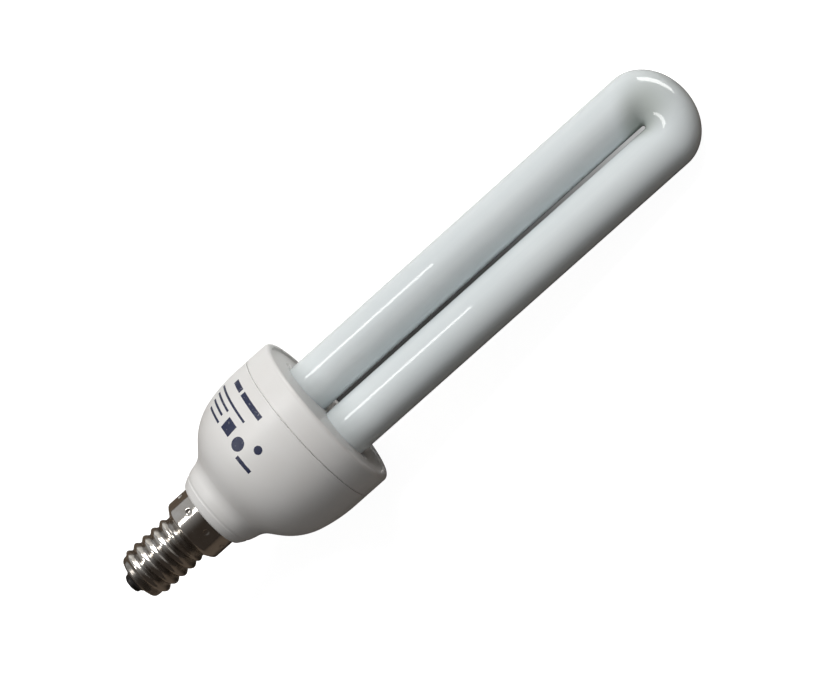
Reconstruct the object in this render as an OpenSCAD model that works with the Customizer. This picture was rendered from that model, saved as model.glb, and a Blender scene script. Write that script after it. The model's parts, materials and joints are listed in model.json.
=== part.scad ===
// Compact ultraviolet lamp for an insect trap: one U-shaped coated glass tube on a screw-capped ballast.
// Built about the lamp axis, with the contact tip at height 0 and the tube upward, then laid on its side.
// All sizes in millimetres.

/* [Screw cap] */
// Outer diameter over the thread crests
thread_d = 13.86; // [13.7:0.02:13.9]
// Diameter at the thread roots
root_d = 12.24; // [12.1:0.02:12.4]
// Rise of the thread in one turn
thread_pitch = 2.822; // [2.7:0.002:2.9]
// Length of the threaded stretch
thread_len = 14.5; // [13.5:0.1:15.5]
// Outer diameter of the plain collar above the thread
collar_d = 17; // [16.6:0.1:17.4]
// Length of the plain collar
collar_len = 5.8; // [5:0.1:7]
// Height of the cone between the thread and the collar
shoulder_h = 2.4; // [2:0.1:3]
// Thickness of the rolled sheet
sheet = 0.35; // [0.3:0.01:0.4]
// Opening at the bottom of the shell
mouth_d = 9.3; // [8.9:0.1:9.8]
// Height of the curled cup between the mouth and the thread
cup_h = 1.15; // [1:0.05:1.4]
// Number of punched stakes that hold the collar to the neck
stake_count = 8; // [4:1:10]
// Radius of the punch that makes a stake
stake_r = 1.2; // [1:0.1:1.4]
// Depth of a stake
stake_depth = 0.4; // [0.2:0.05:0.5]
// Height of the stakes below the collar's rim
stake_drop = 2.1; // [1.8:0.1:2.6]
// Turn of the row of stakes round the axis, in degrees
stake_turn = 9; // [0:1:22]

/* [Contact and insulator] */
// Diameter of the centre contact
contact_d = 5.2; // [4.6:0.1:5.4]
// Height of the centre contact
contact_h = 1.3; // [1:0.1:1.5]
// Diameter of the insulator under the contact
nub_d = 5.8; // [5.6:0.1:6.4]
// Height of the insulator's visible cone
nub_h = 1.25; // [1:0.05:1.5]
// Thickness of the insulator inside the shell
insulator_t = 2; // [1.5:0.1:3]

/* [Housing] */
// Largest diameter of the housing
body_d = 43.2; // [42:0.1:44.4]
// Length of the bowl, from the neck to the parting line
bowl_len = 31.8; // [31:0.1:34]
// Wall thickness of the mouldings
wall = 1.6; // [1.4:0.1:1.8]
// Diameter of the neck's end face
neck_d = 17.8; // [17.6:0.1:18.4]
// Radius of the neck's rounded lip
lip_r = 1.2; // [1:0.1:1.4]
// Radius of the neck's bulge
neck_r = 14.3; // [12:0.1:15]
// Radius of the hollow between neck and bowl
hollow_r = 5.5; // [4.5:0.1:6]
// Straight stretch between the hollow and the bowl's shoulder
flank_len = 2.7; // [2.2:0.1:3]
// Large radius where the bowl runs into its straight side
side_r = 40; // [30:1:44]
// Straight stretch of the side before the parting line
side_len = 3.8; // [1:0.1:6]
// Length of the neck's spigot inside the collar
spigot_len = 5.2; // [4.4:0.1:5.4]
// Wall thickness of the spigot
spigot_wall = 1.3; // [1:0.1:1.6]
// Number of ribs that the circuit board sits on
rib_count = 6; // [3:1:6]
// Thickness of a rib
rib_t = 1.2; // [1:0.1:1.6]
// Height of a rib
rib_h = 4.7; // [3.5:0.1:5.5]
// Reach of a rib under the board's edge
rib_reach = 1.6; // [1.2:0.1:2]
// Clearance between parts that slip into each other
slip = 0.1; // [0.05:0.01:0.15]

/* [Tube holder] */
// Length of the front ring, from the parting line to the rim
ring_len = 6.6; // [6:0.1:8]
// Radius of the rim's outer edge
rim_r = 1.2; // [0.8:0.1:1.5]
// Width of the rim around the recessed face
rim_w = 1.8; // [1.7:0.1:2.4]
// Depth of the recessed face
recess = 0.6; // [0.4:0.1:1]
// Thickness of the holder's plate
plate_t = 2; // [1.6:0.1:2.4]
// Height of the sockets behind the plate
socket_h = 3.5; // [2.5:0.1:3.8]
// Wall thickness of the skirt that snaps into the bowl
skirt_t = 1.65; // [1.4:0.05:1.9]
// Height of the snap bead
bead_h = 0.35; // [0.25:0.05:0.4]
// Distance from the parting line back to the snap bead
bead_back = 1.7; // [1.4:0.1:1.9]
// Width of the vent slot outside each leg
slot_w = 2; // [1.6:0.1:2.4]
// Reach of the vent slot beyond the leg's hole
slot_reach = 1.5; // [1.2:0.1:2]
// Size of the bevels that show as the parting line
seam = 0.3; // [0.2:0.05:0.4]

/* [Glass tube] */
// Outside diameter of a leg
leg_d = 12.8; // [12.2:0.1:13]
// Distance between the axes of the two legs
leg_pitch = 14.1; // [13.8:0.1:15.6]
// Reach of the tube beyond the rim
tube_reach = 113.7; // [80:0.1:160]
// Depth of the bend, from the end of the straight legs to the tip
bend_depth = 10.9; // [10:0.1:13]
// Depth of the slot's rounded end
slot_depth = 0.6; // [0.4:0.1:1]
// Half thickness of the bend at its tip, out of the plane of the legs
bend_half = 6.2; // [5.8:0.1:6.4]
// Width of a pinch seal
pinch_w = 11; // [9:0.2:12]
// Thickness of a pinch seal
pinch_t = 3.2; // [2.6:0.1:3.8]
// Height of the flat part of a pinch seal
pinch_h = 2.2; // [1.8:0.1:2.4]
// Height over which a leg narrows into its seal
pinch_taper = 2; // [1.6:0.1:2.2]
// Thickness of the cement that beds each leg
cement_t = 1.4; // [1:0.1:1.5]

/* [Circuit board] */
// Distance from the parting line back to the board's parts side
board_back = 9.5; // [9.4:0.1:9.8]
// Thickness of the board
board_t = 1.6; // [1.2:0.1:1.6]
// Radius of a component lead
lead_r = 0.3; // [0.25:0.01:0.35]
// Length of a lead that stands out of the board
lead_stub = 0.9; // [0.8:0.1:1.2]
// Diameter of the smoothing capacitor
cap_d = 10; // [8:0.5:10]
// Length of the smoothing capacitor
cap_len = 16.5; // [12:0.5:17]
// Width of the choke's core
core_w = 10.2; // [9.6:0.1:10.4]
// Depth of the choke's core
core_d = 4.6; // [4:0.1:5]
// Height of the choke's core
core_h = 10.2; // [9.6:0.1:10.4]
// Outer diameter of the drive transformer's ring
toroid_d = 9; // [8:0.1:9.2]
// Bore of the drive transformer's ring
toroid_bore = 5; // [4.6:0.1:5.4]
// Width of the drive transformer's ring
toroid_w = 3.6; // [3:0.1:3.8]
// Turns on the drive transformer
toroid_turns = 9; // [5:1:12]

/* [Hidden] */

$fn = 64;

// How far a cutter stands out of what it cuts
over = 1;

// Radii
thread_r = thread_d / 2;
root_r = root_d / 2;
collar_r = collar_d / 2;
mouth_r = mouth_d / 2;
body_r = body_d / 2;
inner_r = body_r - wall;
leg_r = leg_d / 2;
leg_x = leg_pitch / 2;

// Heights along the lamp axis, from the contact tip upward
nub_z = contact_h;
mouth_z = nub_z + nub_h;
thread_z = mouth_z + cup_h;
thread_top = thread_z + thread_len;
collar_z = thread_top + shoulder_h;
neck_z = collar_z + collar_len;
split_z = neck_z + bowl_len;
rim_z = split_z + ring_len;
face_z = rim_z - recess;
plate_z = face_z - plate_t;
socket_z = plate_z - socket_h;
cement_z = socket_z - cement_t;
board_z = split_z - board_back;
board_top = board_z + board_t;
tip_z = rim_z + tube_reach;
bend_z = tip_z - bend_depth;
leg_z = cement_z - 0.1;
pinch_z = leg_z - pinch_taper;
seal_z = pinch_z - pinch_h;

// Resting pose: the rim's rounded edge and the bend's tip, an ellipse in section, touch the ground
contact_edge = 0.6;
tip_centre = bend_z + (bend_depth + slot_depth) / 2;
tip_half = (bend_depth - slot_depth) / 2;
lift = body_r - rim_r;
run = tip_centre - (rim_z - rim_r);
function reach(t) = norm([tip_half * sin(t), bend_half * cos(t)]);
function settle(t, n) =
    n == 0 ? t : settle(atan2(lift, run) - asin((reach(t) - rim_r) / norm([run, lift])), n - 1);
tilt = settle(0, 4);
ground = (rim_z - rim_r) * sin(tilt) + lift * cos(tilt) + rim_r;
back_x = contact_edge * cos(tilt) - (contact_d / 2 - contact_edge) * sin(tilt) - contact_edge;
front_x = tip_centre * cos(tilt) + norm([tip_half * cos(tilt), bend_half * sin(tilt)]);
centre_x = (back_x + front_x) / 2;

// The round board, and places of its parts seen along the lamp axis, drawn as shares of the board's radius
board_gap = 0.8;
board_r = inner_r - board_gap;
function on_disc(x, y) = board_r / 192 * [x, y];
cap_at = on_disc(0, 32);
cap_pitch = 5;
choke_at = on_disc(0, -95);
toroid_at = on_disc(115, 25);
transistor_at = [on_disc(-105, -30), on_disc(-105, 35)];
transistor_pitch = 1.27;
diode_at = [for (x = [-60, -20, 20, 60]) on_disc(x, 123)];
diode_span = 7.6;
diode_r = 1.35;
diode_len = 5.2;
diac_at = on_disc(-66, 36);
diac_span = 6.4;
diac_r = 0.9;
diac_len = 3.8;
film_at = on_disc(-98, -85);
film_pitch = 4.4;
start_at = on_disc(103, -75);
start_pitch = 4.8;
resistor_at = [on_disc(-142, 0), on_disc(0, -162), on_disc(110, -28)];
resistor_turn = [90, 0, 0];
resistor_span = 8;
resistor_r = 1.2;
resistor_len = 5.6;
centre_at = on_disc(-16, -34);
side_at = on_disc(16, -34);
pin_w = 0.9;
pin_edge = 2.4;
pin_turn = 28.4;
pin_at = [for (sx = [-1, 1], sy = [-1, 1]) (board_r - pin_edge) * [sx * cos(pin_turn), sy * sin(pin_turn)]];
bobbin_pins = [7.6, 6.4];
choke_pins = [for (sx = [-1, 1], sy = [-1, 1]) choke_at + [bobbin_pins[0] * sx, bobbin_pins[1] * sy] / 2];
toroid_rail = toroid_w / 2 + 0.9;
toroid_legs = 4.4;
toroid_pins = [for (sx = [-1, 1], sy = [-1, 1]) toroid_at + [toroid_legs / 2 * sx, toroid_rail * sy]];
lead_places = concat(
    [for (s = [-1, 1]) cap_at + [cap_pitch / 2 * s, 0]], choke_pins, toroid_pins,
    [for (p = transistor_at, s = [-1, 0, 1]) p + [0, transistor_pitch * s]],
    [for (p = diode_at, s = [-1, 1]) p + [0, diode_span / 2 * s]],
    [for (s = [-1, 1]) diac_at + [0, diac_span / 2 * s]],
    [for (s = [-1, 1]) film_at + [film_pitch / 2 * s, 0]],
    [for (s = [-1, 1]) start_at + [start_pitch / 2 * s, 0]],
    [for (i = [0:len(resistor_at) - 1], s = [-1, 1])
        resistor_at[i] + resistor_span / 2 * s * [cos(resistor_turn[i]), sin(resistor_turn[i])]],
    [centre_at, side_at]
);
hole_r = lead_r + slip;
// Depth of the centre lead's end in the contact
lead_end = 0.5;
wrap_z = board_top + 2.2;
wire_r = 0.6;

// Points along an arc of a profile [radius, height] that turns from heading a0 to heading a1.
// A heading is measured from the lamp axis toward the outside.
function bend(p, r, a0, a1, n) =
    let (s = sign(a0 - a1))
    [for (i = [1:n]) let (a = a0 + (a1 - a0) * i / n)
        [p[0] + s * r * (cos(a) - cos(a0)), p[1] + s * r * (sin(a0) - sin(a))]];
function last(list) = list[len(list) - 1];
// A profile point moved by d toward the axis, square to its heading
function inward(p, a, d) = p + d * [-cos(a), sin(a)];

// Headings of the bowl's outline; the flank's is found from the bowl's length and diameter
lip_start = 75;
lip_end = 32;
waist = 12;
side = 14;

// Outline of the bowl, moved inward by d, from the end of the lip to the straight side
function bowl_line(d, flank = flank) =
    let (
        lip = last(bend([neck_d / 2, neck_z], lip_r, lip_start, lip_end, 1)),
        a = inward(lip, lip_end, d),
        neck = bend(a, neck_r - d, lip_end, waist, 8),
        hollow = bend(last(neck), hollow_r + d, waist, flank, 10),
        start = last(hollow) + flank_len * [sin(flank), cos(flank)],
        shoulder_r = (body_r - d - (side_r - d) * (1 - cos(side)) - start[0]) / (cos(side) - cos(flank)),
        shoulder = bend(start, shoulder_r, flank, side, 12)
    )
    concat([a], neck, hollow, [start], shoulder, bend(last(shoulder), side_r - d, side, 0, 6));

// The heading between lo and hi that lets the outline end where the straight side starts: a steeper
// flank makes a shorter bowl
function flank_between(lo, hi, n) =
    let (mid = (lo + hi) / 2)
    n == 0 ? mid
    : last(bowl_line(0, mid))[1] > split_z - side_len ? flank_between(mid, hi, n - 1)
    : flank_between(lo, mid, n - 1);
flank = flank_between(side + 6, 88, 20);

// Rings of points skinned into one closed solid, each ring turning anticlockwise seen from ahead
module skin(rings) {
    n = len(rings[0]);
    m = len(rings);
    polyhedron(
        points = [for (ring = rings) each ring],
        faces = concat(
            [[for (j = [0:n - 1]) j]],
            [for (i = [0:m - 2], j = [0:n - 1]) [i * n + j, (i + 1) * n + (j + 1) % n, i * n + (j + 1) % n]],
            [for (i = [0:m - 2], j = [0:n - 1]) [i * n + j, (i + 1) * n + j, (i + 1) * n + (j + 1) % n]],
            [[for (j = [n - 1:-1:0]) (m - 1) * n + j]]
        ),
        convexity = 6
    );
}

// An elliptical ring about centre c, with half axes given as two vectors
function ring(c, a, b, n) = [for (j = [0:n - 1]) c + a * cos(360 * j / n) + b * sin(360 * j / n)];
function unit(v) = v / norm(v);

// A round wire along a path; up is a direction that the path never takes
module wire(path, r, up, n = 8) {
    m = len(path);
    skin([for (i = [0:m - 1])
        let (
            t = unit(path[min(i + 1, m - 1)] - path[max(i - 1, 0)]),
            a = unit(cross(up, t)),
            b = cross(t, a)
        )
        ring(path[i], a * r, b * r, n)]);
}

// From the lamp's own axis to where it lies
module lay() {
    translate([-centre_x, 0, ground]) rotate([0, tilt, 0]) rotate([90, 0, 90]) children();
}

// On the board's parts side, with height measured away from the board
module on_board(p, turn = 0) {
    translate([p[0], p[1], board_z]) mirror([0, 0, 1]) rotate([0, 0, turn]) children();
}

// Straight leads through the board, from height h above its parts side
module leads(places, h = 0) {
    for (p = places)
        on_board(p) translate([0, 0, -board_t - lead_stub]) cylinder(r = lead_r, h = h + board_t + lead_stub);
}

// A plate with round corners
module round_plate(w, d, h, r) {
    linear_extrude(h) {
        square([w - 2 * r, d], center = true);
        square([w, d - 2 * r], center = true);
        for (sx = [-1, 1], sy = [-1, 1]) translate([sx * (w / 2 - r), sy * (d / 2 - r)]) circle(r);
    }
}

// A lead-ended part lying on the board along x, its leads bent down into their holes
module axial(span, r, len) {
    cut = 0.7;
    low = -board_t - lead_stub;
    wire([[-span / 2, 0, low], [-span / 2, 0, r - cut], [cut - span / 2, 0, r],
          [span / 2 - cut, 0, r], [span / 2, 0, r - cut], [span / 2, 0, low]], lead_r, [0, 1, 0]);
    translate([-len / 2, 0, r]) rotate([0, 90, 0]) cylinder(r = r, h = len);
}

module centre_contact() {
    flat_r = contact_d / 2 - contact_edge;
    color("dimgray") lay() difference() {
        rotate_extrude() polygon(concat(
            [[0, 0]],
            [for (a = [0:10:90]) [flat_r + contact_edge * sin(a), contact_edge * (1 - cos(a))]],
            [[contact_d / 2, contact_h], [0, contact_h]]
        ));
        translate([0, 0, contact_h - lead_end]) cylinder(r = hole_r, h = lead_end + over);
    }
}

module cap_insulator() {
    in_r = root_r - sheet - slip;
    color("black") lay() difference() {
        rotate_extrude() polygon([
            [0, nub_z], [nub_d / 2, nub_z], [mouth_r, mouth_z], [mouth_r, mouth_z + sheet],
            [in_r, thread_z], [in_r, thread_z + insulator_t], [0, thread_z + insulator_t]
        ]);
        translate([0, 0, nub_z - over]) cylinder(r = hole_r, h = insulator_t + thread_z);
    }
}

// Height of the thread above its root at turn angle a and height z: a round crest that fades at both ends
thread_fade = 1.6;
thread_bite = 0.15;
thread_inset = 0.04;
function ease(t) = let (u = min(max(t, 0), 1)) u * u * (3 - 2 * u);
function thread_rise(a, z) =
    (thread_r - root_r + thread_inset) * (1 + cos(360 * ((z - thread_z - 1) / thread_pitch - a / 360))) / 2
    * ease((z - thread_z) / thread_fade) * ease((thread_top - z) / thread_fade);

// The rolled thread as a sheet of even thickness, closed round the axis; its ends lie inside the plain walls
module rolled_thread() {
    turns = 32;
    rows = 44;
    low = thread_z - thread_bite;
    step = (thread_len + 2 * thread_bite) / rows;
    line = concat(
        [for (k = [0:rows]) [root_r - thread_inset, low + step * k]],
        [for (k = [rows:-1:0]) [root_r - sheet + thread_inset, low + step * k]]
    );
    n = len(line);
    polyhedron(
        points = [for (i = [0:turns - 1], p = line)
            let (a = 360 * i / turns, r = p[0] + thread_rise(a, p[1]))
            [r * cos(a), r * sin(a), p[1]]],
        faces = concat(
            [for (i = [0:turns - 1], k = [0:n - 1])
                [i * n + k, (i + 1) % turns * n + (k + 1) % n, (i + 1) % turns * n + k]],
            [for (i = [0:turns - 1], k = [0:n - 1])
                [i * n + k, i * n + (k + 1) % n, (i + 1) % turns * n + (k + 1) % n]]
        ),
        convexity = 10
    );
}

// Puts a copy at each stake round the collar, at radius r
module at_stakes(r) {
    for (i = [0:stake_count - 1])
        rotate([0, 0, stake_turn + 360 * (i + 0.5) / stake_count])
            translate([r, 0, neck_z - stake_drop]) children();
}
stake_at = collar_r + stake_r - stake_depth;

module screw_shell() {
    slope = thread_bite + 0.05;
    curl = 0.8;
    color("silver") lay() difference() {
        union() {
            rolled_thread();
            rotate_extrude() polygon([
                [mouth_r, mouth_z], [root_r - curl / 2, mouth_z + curl * 3 / 8], [root_r, mouth_z + curl],
                [root_r, thread_z], [root_r - sheet, thread_z], [mouth_r, mouth_z + sheet]
            ]);
            rotate_extrude() polygon([
                [root_r, thread_top], [collar_r, collar_z], [collar_r, neck_z],
                [collar_r - sheet, neck_z], [collar_r - sheet, collar_z + slope],
                [root_r - sheet, thread_top + slope], [root_r - sheet, thread_top]
            ]);
            at_stakes(stake_at) intersection() {
                sphere(r = stake_r + sheet);
                translate([collar_r - sheet / 2 - stake_at - stake_r, 0, 0])
                    cube(2 * stake_r, center = true);
            }
        }
        at_stakes(stake_at) sphere(r = stake_r);
    }
}

// Solid shape inside the bowl's outline, moved inward by d, up to height top
module bowl_core(d, top) {
    line = bowl_line(d);
    rotate_extrude() polygon(concat(
        [[0, line[0][1]]], [for (p = line) if (p[1] < top) p], [[last(line)[0], top], [0, top]]
    ));
}

module housing() {
    spigot_r = collar_r - sheet - slip;
    bore_r = spigot_r - spigot_wall;
    outer = bowl_line(0);
    inner = bowl_line(wall);
    bead_z = split_z - bead_back;
    color("antiquewhite") lay() {
        difference() {
            rotate_extrude() polygon(concat(
                [[bore_r, neck_z - spigot_len], [spigot_r, neck_z - spigot_len], [spigot_r, neck_z],
                 [neck_d / 2, neck_z]],
                bend([neck_d / 2, neck_z], lip_r, lip_start, lip_end, 5),
                [for (i = [1:len(outer) - 1]) outer[i]],
                [[body_r, split_z - seam], [body_r - seam, split_z], [inner_r, split_z],
                 [inner_r, bead_z + 0.7], [inner_r + bead_h, bead_z + 0.25],
                 [inner_r + bead_h, bead_z - 0.25], [inner_r, bead_z - 0.7]],
                [for (i = [len(inner) - 1:-1:0]) inner[i]],
                [[bore_r, neck_z + 0.2]]
            ));
            at_stakes(stake_at) sphere(r = stake_r + sheet + slip);
        }
        intersection() {
            for (i = [0:rib_count - 1])
                rotate([0, 0, 360 * i / rib_count])
                    translate([board_r - rib_reach, -rib_t / 2, board_z - rib_h])
                        cube([wall + rib_reach, rib_t, rib_h]);
            bowl_core(wall / 2, board_z + over);
        }
    }
}

module leg_holes(r, z, h) {
    for (s = [-1, 1]) translate([s * leg_x, 0, z]) cylinder(r = r, h = h);
}

module tube_holder() {
    hole = leg_r + slip;
    skirt_r = inner_r - slip;
    skirt_in = skirt_r - skirt_t;
    bead_z = split_z - bead_back;
    taper_z = split_z - 4;
    taper = 0.35;
    chamfer = 0.3;
    lip_in = body_r - rim_w;
    color("ivory") lay() difference() {
        union() {
            rotate_extrude() polygon(concat(
                [[skirt_in, board_top], [skirt_r - taper, board_top], [skirt_r, taper_z],
                 [skirt_r, bead_z - 0.6], [skirt_r + bead_h, bead_z - 0.2], [skirt_r + bead_h, bead_z + 0.2],
                 [skirt_r, bead_z + 0.6], [skirt_r, split_z],
                 [body_r - seam, split_z], [body_r, split_z + seam]],
                [for (a = [0:10:90]) [body_r - rim_r + rim_r * cos(a), rim_z - rim_r + rim_r * sin(a)]],
                [[lip_in + chamfer, rim_z], [lip_in, rim_z - chamfer], [lip_in, face_z], [0, face_z],
                 [0, plate_z], [skirt_in, plate_z]]
            ));
            leg_holes(leg_r + wall, socket_z, socket_h + plate_t / 2);
        }
        leg_holes(hole, socket_z - over, rim_z - socket_z + 2 * over);
        for (s = [-1, 1]) translate([s * (leg_x + hole + (slot_reach - over) / 2), 0, face_z])
            cube([slot_reach + over, slot_w, 2 * (plate_t + socket_h + over)], center = true);
    }
}

// Rings of the U: up one leg, round the bend between its outer and inner outlines, and down the other leg
module glass_tube() {
    sides = 40;
    bend_steps = 20;
    b = [0, 1, 0];
    function leg(s) = [for (row = [
            [seal_z, pinch_w / 2, pinch_t / 2], [pinch_z, pinch_w / 2, pinch_t / 2],
            [leg_z - pinch_taper / 2, leg_r - 0.2, leg_r - 1.2], [leg_z, leg_r, leg_r]])
        ring([s * leg_x, 0, row[0]], [row[1], 0, 0], b * row[2], sides)];
    function u_ring(a) =
        let (
            out = [(leg_x + leg_r) * cos(a), 0, bend_z + bend_depth * sin(a)],
            in = [(leg_x - leg_r) * cos(a), 0, bend_z + slot_depth * sin(a)],
            half = (out - in) / 2,
            deep = leg_r + (bend_half - leg_r) * sin(a)
        )
        ring((out + in) / 2, half, b * deep, sides);
    right = leg(1);
    left = leg(-1);
    function turned(r) = [for (j = [0:sides - 1]) r[(sides - j) % sides]];
    color("azure") lay() skin(concat(
        [for (r = right) turned(r)],
        [for (i = [0:bend_steps]) turned(u_ring(180 * i / bend_steps))],
        [for (i = [3:-1:0]) [for (j = [0:sides - 1]) left[i][(j + sides / 2) % sides]]]
    ));
}

module tube_cement() {
    color("gainsboro") lay() difference() {
        leg_holes(leg_x - 0.1, cement_z, cement_t);
        leg_holes(leg_r, cement_z - over, cement_t + 2 * over);
    }
}

module circuit_board() {
    color("goldenrod") lay() translate([0, 0, board_z]) difference() {
        cylinder(r = board_r, h = board_t);
        for (p = lead_places) translate([p[0], p[1], -over])
            cylinder(r = hole_r, h = board_t + 2 * over, $fn = 24);
        for (p = pin_at) translate([p[0], p[1], board_t / 2])
            cube([pin_w, pin_w, board_t + 2 * over], center = true);
    }
}

module solder_joints() {
    color("lightgray") lay() for (p = lead_places) translate([p[0], p[1], board_top]) difference() {
        cylinder(r1 = lead_r + 0.5, r2 = lead_r + 0.15, h = lead_stub - 0.2, $fn = 24);
        translate([0, 0, -over]) cylinder(r = lead_r, h = lead_stub + 2 * over, $fn = 24);
    }
}

module smoothing_capacitor() {
    r = cap_d / 2;
    crimp = 0.5;
    color("midnightblue") lay() {
        on_board(cap_at) rotate_extrude() polygon([
            [0, 0], [r - 0.6, 0], [r, 0.5], [r, 1.6], [r - crimp, 2.1], [r, 2.6], [r, cap_len - 0.6],
            [r - 0.6, cap_len], [r - 1.2, cap_len], [r - 1.4, cap_len - 0.3], [0, cap_len - 0.3]
        ]);
        leads([for (s = [-1, 1]) cap_at + [cap_pitch / 2 * s, 0]]);
    }
}

// Sizes of the choke, shared by its core, bobbin and coil
base_h = 1.6;
post_w = 2.5;
yoke = 1.4;
window_h = core_h - 2 * yoke;
limb = 1.5;
bobbin_t = 0.5;
coil_w = core_w - 2 * limb - 0.2;
coil_d = core_d + 4;

module choke_core() {
    color("dimgray") lay() on_board(choke_at) translate([0, 0, base_h]) difference() {
        translate([-core_w / 2, -core_d / 2, 0]) cube([core_w, core_d, core_h]);
        for (s = [-1, 1]) translate([s * (core_w / 2 - limb + post_w / 2) / 2, 0, core_h / 2])
            cube([core_w / 2 - limb - post_w / 2, core_d + 2 * over, window_h], center = true);
    }
}

module choke_bobbin() {
    inner_w = post_w;
    color("beige") lay() {
        on_board(choke_at) {
            round_plate(core_w, coil_d, base_h, 0.5);
            for (z = [base_h + yoke, base_h + yoke + window_h - bobbin_t]) translate([0, 0, z]) difference() {
                round_plate(coil_w, coil_d, bobbin_t, 0.5);
                cube([inner_w, core_d, 4], center = true);
            }
            translate([0, 0, base_h + yoke]) difference() {
                round_plate(inner_w + 2 * bobbin_t, core_d + 2 * bobbin_t, window_h, 0.3);
                translate([0, 0, window_h / 2]) cube([inner_w, core_d, window_h + 2 * over], center = true);
            }
            for (s = [-1, 1]) translate([-coil_w / 2, s * (core_d / 2 + 1.1) - 0.8, 0])
                cube([coil_w, 1.6, base_h + yoke + bobbin_t / 2]);
        }
        leads(choke_pins);
    }
}

module choke_coil() {
    h = window_h - 2 * bobbin_t;
    color("peru") lay() on_board(choke_at) translate([0, 0, base_h + yoke + bobbin_t]) difference() {
        round_plate(coil_w - 0.3, coil_d - 0.3, h, 0.8);
        translate([0, 0, -over])
            round_plate(post_w + 2 * bobbin_t, core_d + 2 * bobbin_t, h + 2 * over, 0.3);
    }
}

// Turns of wire round the toroid, each a rectangular loop standing on the ring's section
turn_wire = 0.4;

module toroid_core() {
    color("darkslategray") lay() on_board(toroid_at) translate([0, 0, toroid_d / 2 + turn_wire])
        rotate([90, 0, 0]) difference() {
            cylinder(r = toroid_d / 2, h = toroid_w, center = true);
            cylinder(r = toroid_bore / 2, h = toroid_w + 2 * over, center = true);
        }
}

module toroid_windings() {
    mid = (toroid_d + toroid_bore) / 4;
    deep = (toroid_d - toroid_bore) / 2;
    color("firebrick") lay() {
        on_board(toroid_at) translate([0, 0, toroid_d / 2 + turn_wire]) for (i = [0:toroid_turns - 1])
            rotate([0, 30 + 300 * i / toroid_turns, 0]) translate([0, 0, -mid]) difference() {
                cube([turn_wire, toroid_w + 2 * turn_wire, deep + 2 * turn_wire], center = true);
                cube([turn_wire + over, toroid_w, deep + slip], center = true);
            }
        leads(toroid_pins, toroid_d / 2);
        for (s = [-1, 1]) on_board(toroid_at + [0, s * toroid_rail]) translate([0, 0, toroid_d / 2])
            cube([toroid_legs + 2 * lead_r, 2 * lead_r, 2 * lead_r], center = true);
    }
}

module power_transistors() {
    size = 4.6;
    stand = 2.5;
    color("black") lay() {
        for (p = transistor_at) on_board(p) translate([0, 0, stand]) intersection() {
            translate([0.4, 0, 0]) cylinder(r = size / 2, h = size);
            translate([-size, -size, 0]) cube([size + 1.6, 2 * size, size]);
        }
        leads([for (p = transistor_at, s = [-1, 0, 1]) p + [0, transistor_pitch * s]], stand + 0.2);
    }
}

module rectifier_diodes() {
    color("dimgray") lay() for (p = diode_at) on_board(p, 90) axial(diode_span, diode_r, diode_len);
}

module trigger_diac() {
    color("steelblue") lay() on_board(diac_at, 90) axial(diac_span, diac_r, diac_len);
}

module film_capacitor() {
    color("darkgreen") lay() {
        on_board(film_at) round_plate(6, 2.6, 6, 0.8);
        leads([for (s = [-1, 1]) film_at + [film_pitch / 2 * s, 0]]);
    }
}

module start_capacitor() {
    color("maroon") lay() {
        on_board(start_at) round_plate(6.5, 4, 7, 1.2);
        leads([for (s = [-1, 1]) start_at + [start_pitch / 2 * s, 0]]);
    }
}

module resistors() {
    color("tan") lay() for (i = [0:len(resistor_at) - 1])
        on_board(resistor_at[i], resistor_turn[i]) axial(resistor_span, resistor_r, resistor_len);
}

// The fusible resistor hangs in the centre lead, inside the cap
fuse_r = 1.6;
fuse_len = 8;
fuse_z = thread_z + insulator_t + 2;

module fusible_resistor() {
    cap = 0.4;
    color("seagreen") lay() rotate_extrude() polygon([
        [0, fuse_z], [fuse_r - cap, fuse_z], [fuse_r, fuse_z + cap], [fuse_r, fuse_z + fuse_len - cap],
        [fuse_r - cap, fuse_z + fuse_len], [0, fuse_z + fuse_len]
    ]);
}

module wrap_pins() {
    low = 1.5;
    high = 4.4;
    color("silver") lay() for (p = pin_at) translate([p[0] - pin_w / 2, p[1] - pin_w / 2, board_z - low])
        cube([pin_w, pin_w, low + board_t + high]);
}

// The four bare leads of the tube, each led to its pin and wrapped round it
module filament_leads() {
    r = 0.22;
    wrap_r = pin_w / 2 * sqrt(2) + r + 0.02;
    color("lightgray") lay() for (p = pin_at) {
        sx = sign(p[0]);
        sy = sign(p[1]);
        x = sx * (leg_x + 2.5 * sy);
        end = p + [-sx * wrap_r, 0];
        wire([[x, 0, seal_z], [x, 0, seal_z - 0.3], [x + 0.2 * sx, 0.5 * sy, wrap_z],
              [(x + end[0]) / 2 - sx * sy, end[1] * 0.55, wrap_z], [end[0], end[1] - 1.2 * sy, wrap_z],
              [end[0], end[1], wrap_z]], r, unit([0.3, 0, 1] + [0, 0.01, 0]));
        for (i = [0:2]) translate([p[0], p[1], wrap_z + i * 1.9 * r])
            rotate_extrude() translate([wrap_r, 0]) circle(r, $fn = 16);
    }
}

// A lead's way from one point to another, straight along the lamp axis at both ends
function way(from, to) =
    [for (share = [0, 0.1, 0.3, 0.45, 0.6, 0.8, 1])
        let (t = ease((share - 0.1) / 0.7), d = to - from)
        from + [d[0] * t, d[1] * t, d[2] * share]];

// Insulated lead from the board to the fusible resistor, and its bare end to the contact
module centre_lead() {
    color("crimson") lay() {
        wire(way([0, 0, fuse_z + fuse_len], [centre_at[0], centre_at[1], board_z]), wire_r, [1, 0, 0]);
        leads([centre_at]);
        translate([0, 0, contact_h - lead_end]) cylinder(r = lead_r, h = fuse_z - contact_h + lead_end);
    }
}

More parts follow.
